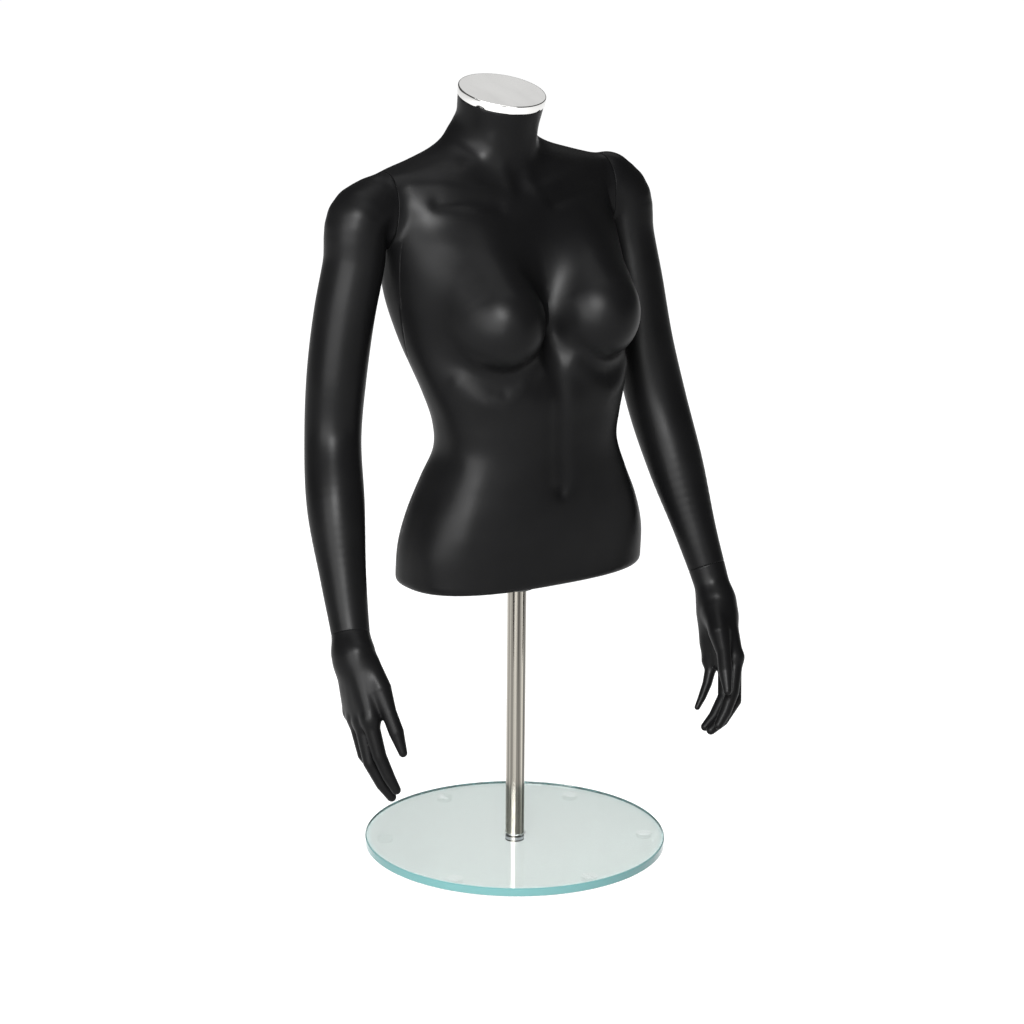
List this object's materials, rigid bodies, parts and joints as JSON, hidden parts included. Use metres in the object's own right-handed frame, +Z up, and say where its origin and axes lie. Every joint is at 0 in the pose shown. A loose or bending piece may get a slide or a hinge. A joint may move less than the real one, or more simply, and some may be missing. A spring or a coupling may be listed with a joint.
{
  "type": "dress form mannequin",
  "caption": "Headless female display torso with two turning, detachable arms and hands, on a chrome post and a round glass base.",
  "frame": {"origin": "on the floor, on the post's axis, at the middle of the pad under the glass base", "axes": "+Z up; the mannequin faces -Y; its right side is -X"},
  "size_m": [0.507, 0.3659, 0.8924],
  "materials": {
    "base_glass": "clear, polished",
    "clear_pad": "translucent",
    "black_rubber": "matte",
    "zinc_steel": "zinc plated",
    "white_nylon": "natural nylon",
    "post_chrome": "polished chrome plate",
    "torso_skin": "satin black lacquer",
    "arm_skin": "satin black lacquer",
    "hand_skin": "satin black lacquer",
    "black_board": "black painted board",
    "black_steel": "black powder coat",
    "magnet": "bare ferrite",
    "knob_black": "moulded knob",
    "cap_chrome": "polished chrome plate"
  },
  "bodies": {
    "stand": {"glass_base": "base_glass", "foot_pads": "clear_pad", "centre_pad": "black_rubber", "retaining_plate": "zinc_steel", "base_bolt": "zinc_steel", "hole_bush": "white_nylon", "post_gasket": "clear_pad", "post": "post_chrome", "post_insert": "zinc_steel", "post_top_bush": "white_nylon"},
    "swivel": {"swivel_cap": "white_nylon"},
    "torso": {"torso_front_shell": "torso_skin", "torso_rear_shell": "torso_skin", "bottom_plate": "black_board", "socket_collar": "black_steel", "socket_tube": "zinc_steel", "socket_end_stop": "zinc_steel", "socket_screws": "zinc_steel", "neck_insert": "black_board", "neck_magnet": "magnet", "right_shoulder_plate": "zinc_steel", "right_shoulder_retainer": "zinc_steel", "right_shoulder_screws": "zinc_steel", "left_shoulder_plate": "zinc_steel", "left_shoulder_retainer": "zinc_steel", "left_shoulder_screws": "zinc_steel"},
    "lock": {"lock_screw": "knob_black"},
    "cap": {"neck_cap": "cap_chrome", "cap_spigot": "zinc_steel"},
    "right_shoulder": {"right_shoulder_hub": "white_nylon"},
    "right_arm": {"right_arm_shell": "arm_skin", "right_arm_plate": "black_board", "right_arm_peg": "zinc_steel", "right_arm_screws": "zinc_steel", "right_wrist_socket": "white_nylon"},
    "right_wrist": {"right_wrist_hub": "white_nylon"},
    "right_hand": {"right_hand": "hand_skin", "right_wrist_peg": "zinc_steel"},
    "left_shoulder": {"left_shoulder_hub": "white_nylon"},
    "left_arm": {"left_arm_shell": "arm_skin", "left_arm_plate": "black_board", "left_arm_peg": "zinc_steel", "left_arm_screws": "zinc_steel", "left_wrist_socket": "white_nylon"},
    "left_wrist": {"left_wrist_hub": "white_nylon"},
    "left_hand": {"left_hand": "hand_skin", "left_wrist_peg": "zinc_steel"}
  },
  "joints": [
    {"name": "torso_turn", "type": "hinge", "parent": "stand", "child": "swivel", "pos_m": [0, 0, 0.503], "axis": [0, 0, 1], "continuous": true},
    {"name": "torso_lift", "type": "slide", "parent": "swivel", "child": "torso", "axis": [0, 0, 1], "range_m": [0, 0.18]},
    {"name": "lock_screw_out", "type": "slide", "parent": "torso", "child": "lock", "axis": [0, 1, 0], "range_m": [0, 0.006]},
    {"name": "neck_cap_lift", "type": "slide", "parent": "torso", "child": "cap", "axis": [0, -0.2706, 0.9627], "range_m": [0, 0.03]},
    {"name": "right_shoulder_turn", "type": "hinge", "parent": "torso", "child": "right_shoulder", "pos_m": [-0.146, 0.054, 0.742], "axis": [-0.9945, 0, 0.1045], "range_deg": [-20, 60]},
    {"name": "right_arm_pull", "type": "slide", "parent": "right_shoulder", "child": "right_arm", "axis": [-0.9945, 0, 0.1045], "range_m": [0, 0.045]},
    {"name": "right_wrist_turn", "type": "hinge", "parent": "right_arm", "child": "right_wrist", "pos_m": [-0.25336, -0.05359, 0.31482], "axis": [-0.1643, -0.4411, -0.8823], "range_deg": [-45, 45]},
    {"name": "right_hand_pull", "type": "slide", "parent": "right_wrist", "child": "right_hand", "axis": [-0.1643, -0.4411, -0.8823], "range_m": [0, 0.03]},
    {"name": "left_shoulder_turn", "type": "hinge", "parent": "torso", "child": "left_shoulder", "pos_m": [0.146, 0.054, 0.742], "axis": [-0.9998, 0, -0.0175], "range_deg": [-20, 60]},
    {"name": "left_arm_pull", "type": "slide", "parent": "left_shoulder", "child": "left_arm", "axis": [0.9998, 0, 0.0175], "range_m": [0, 0.045]},
    {"name": "left_wrist_turn", "type": "hinge", "parent": "left_arm", "child": "left_wrist", "pos_m": [0.20632, -0.08507, 0.32839], "axis": [0.0706, -0.4193, -0.9051], "range_deg": [-45, 45]},
    {"name": "left_hand_pull", "type": "slide", "parent": "left_wrist", "child": "left_hand", "axis": [0.0706, -0.4193, -0.9051], "range_m": [0, 0.03]}
  ]
}
